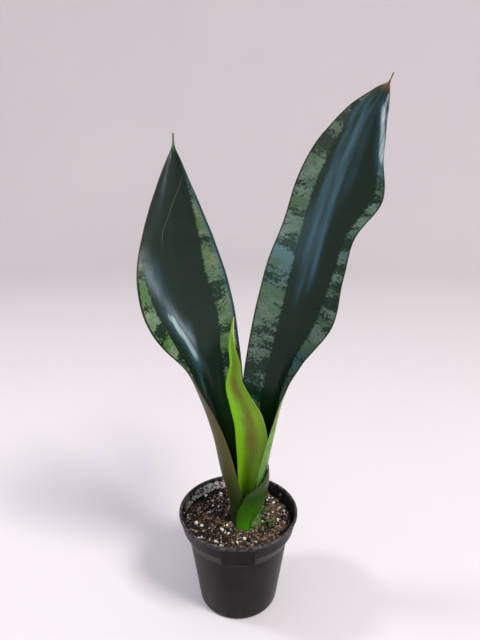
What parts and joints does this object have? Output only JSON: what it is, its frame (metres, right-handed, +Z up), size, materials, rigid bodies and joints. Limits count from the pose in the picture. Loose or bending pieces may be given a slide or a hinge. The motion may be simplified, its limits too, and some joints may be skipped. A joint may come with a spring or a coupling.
{
  "type": "potted snake plant",
  "caption": "Young potted plant with broad upright mottled leaves round a rolled young leaf, rooted in peat mix in a small tapered nursery pot; stands on its flat underside.",
  "frame": {"origin": "on the pot's axis, at the flat underside that the pot rests on", "axes": "+Z up along the pot's axis, -Y the front that both broad leaves turn their upper faces to, +X towards the taller leaf"},
  "size_m": [0.1586, 0.084, 0.3607],
  "materials": {
    "pot_plastic": "thin moulded nursery plastic, satin, scuffed at the rim",
    "peat_mix": "loose fibrous peat and bark, matte",
    "rhizome_skin": "smooth orange-brown skin, satin",
    "leaf_dark": "waxy dark green leaf with mottled grey-green bands, semi-gloss",
    "leaf_young": "waxy yellow-green leaf with a bronze flush, semi-gloss",
    "leaf_sheath": "waxy bright green sheath, dark at the tip, semi-gloss",
    "dry_sheath": "papery dry shred, matte",
    "perlite": "porous white granule, matte",
    "seedling_green": "soft small leaves, satin"
  },
  "bodies": {
    "root": {"pot": "pot_plastic", "potting_mix": "peat_mix", "rhizome": "rhizome_skin", "leaf_left": "leaf_dark", "leaf_right": "leaf_dark", "leaf_young": "leaf_young", "sheath_leaf": "leaf_sheath", "dry_scale": "dry_sheath", "seedling": "seedling_green", "perlite_01": "perlite", "perlite_02": "perlite", "perlite_03": "perlite", "perlite_04": "perlite", "perlite_05": "perlite", "perlite_06": "perlite", "perlite_07": "perlite", "perlite_08": "perlite", "perlite_09": "perlite", "perlite_10": "perlite", "perlite_11": "perlite", "perlite_12": "perlite", "perlite_13": "perlite", "perlite_14": "perlite", "perlite_15": "perlite", "perlite_16": "perlite"}
  },
  "joints": []
}
